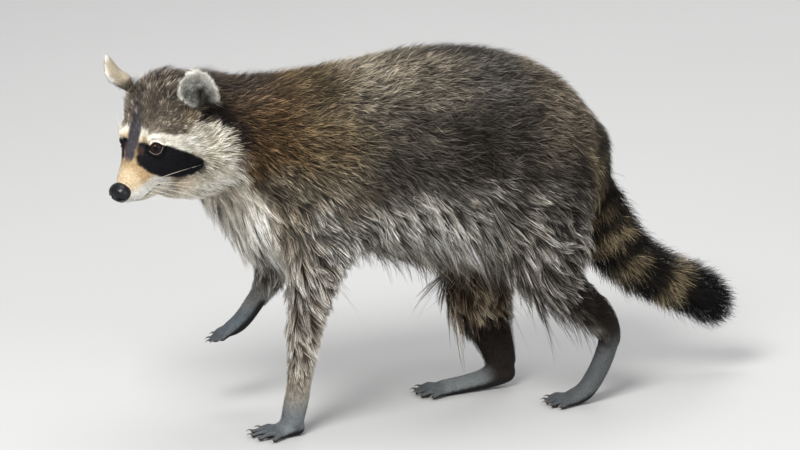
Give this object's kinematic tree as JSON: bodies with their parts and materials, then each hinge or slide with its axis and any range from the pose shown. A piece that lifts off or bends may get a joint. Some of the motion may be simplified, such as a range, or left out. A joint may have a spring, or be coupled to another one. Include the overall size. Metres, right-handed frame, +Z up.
{
  "type": "raccoon",
  "caption": "Raccoon walking with its right forepaw lifted, head turned and lowered, ringed tail hanging behind: a still life-size animal model.",
  "frame": {"origin": "on the floor, under the middle of the whole outline", "axes": "the animal faces -Y, its left side is at +X, +Z is up; the floor is z = 0"},
  "size_m": [0.201, 0.6794, 0.3958],
  "materials": {
    "tail": "thick soft coat, black and tan rings",
    "lower_jaw": "short white coat",
    "muzzle": "short white and tan coat",
    "head": "short grizzled coat with a black mask and white brows",
    "neck": "long rufous brown and cream coat",
    "trunk": "long grizzled grey-brown coat",
    "upper_arm": "long silver-tipped coat",
    "forearm": "short grey coat",
    "forepaw": "very short slate grey coat, black pads",
    "thigh": "long grey-brown coat",
    "shank": "black-brown coat",
    "hindfoot": "very short slate grey coat, black pads",
    "ear": "short coat, white rim",
    "eye": "wet, dark reddish brown",
    "nose": "wet, black",
    "claw": "smooth horn"
  },
  "bodies": {
    "root": {"claw_forepaw_left_1": "claw", "claw_forepaw_left_2": "claw", "claw_forepaw_left_3": "claw", "claw_forepaw_left_4": "claw", "claw_forepaw_left_5": "claw", "claw_forepaw_right_1": "claw", "claw_forepaw_right_2": "claw", "claw_forepaw_right_3": "claw", "claw_forepaw_right_4": "claw", "claw_forepaw_right_5": "claw", "claw_hindfoot_left_1": "claw", "claw_hindfoot_left_2": "claw", "claw_hindfoot_left_3": "claw", "claw_hindfoot_left_4": "claw", "claw_hindfoot_left_5": "claw", "claw_hindfoot_right_1": "claw", "claw_hindfoot_right_2": "claw", "claw_hindfoot_right_3": "claw", "claw_hindfoot_right_4": "claw", "claw_hindfoot_right_5": "claw", "ear_left": "ear", "ear_right": "ear", "eye_left": "eye", "eye_right": "eye", "forearm_left": "forearm", "forearm_right": "forearm", "forepaw_left": "forepaw", "forepaw_right": "forepaw", "head": "head", "hindfoot_left": "hindfoot", "hindfoot_right": "hindfoot", "lower_jaw": "lower_jaw", "muzzle": "muzzle", "neck": "neck", "nose": "nose", "shank_left": "shank", "shank_right": "shank", "tail_base": "tail", "tail_middle": "tail", "tail_tip": "tail", "thigh_left": "thigh", "thigh_right": "thigh", "trunk": "trunk", "upper_arm_left": "upper_arm", "upper_arm_right": "upper_arm"}
  },
  "joints": []
}
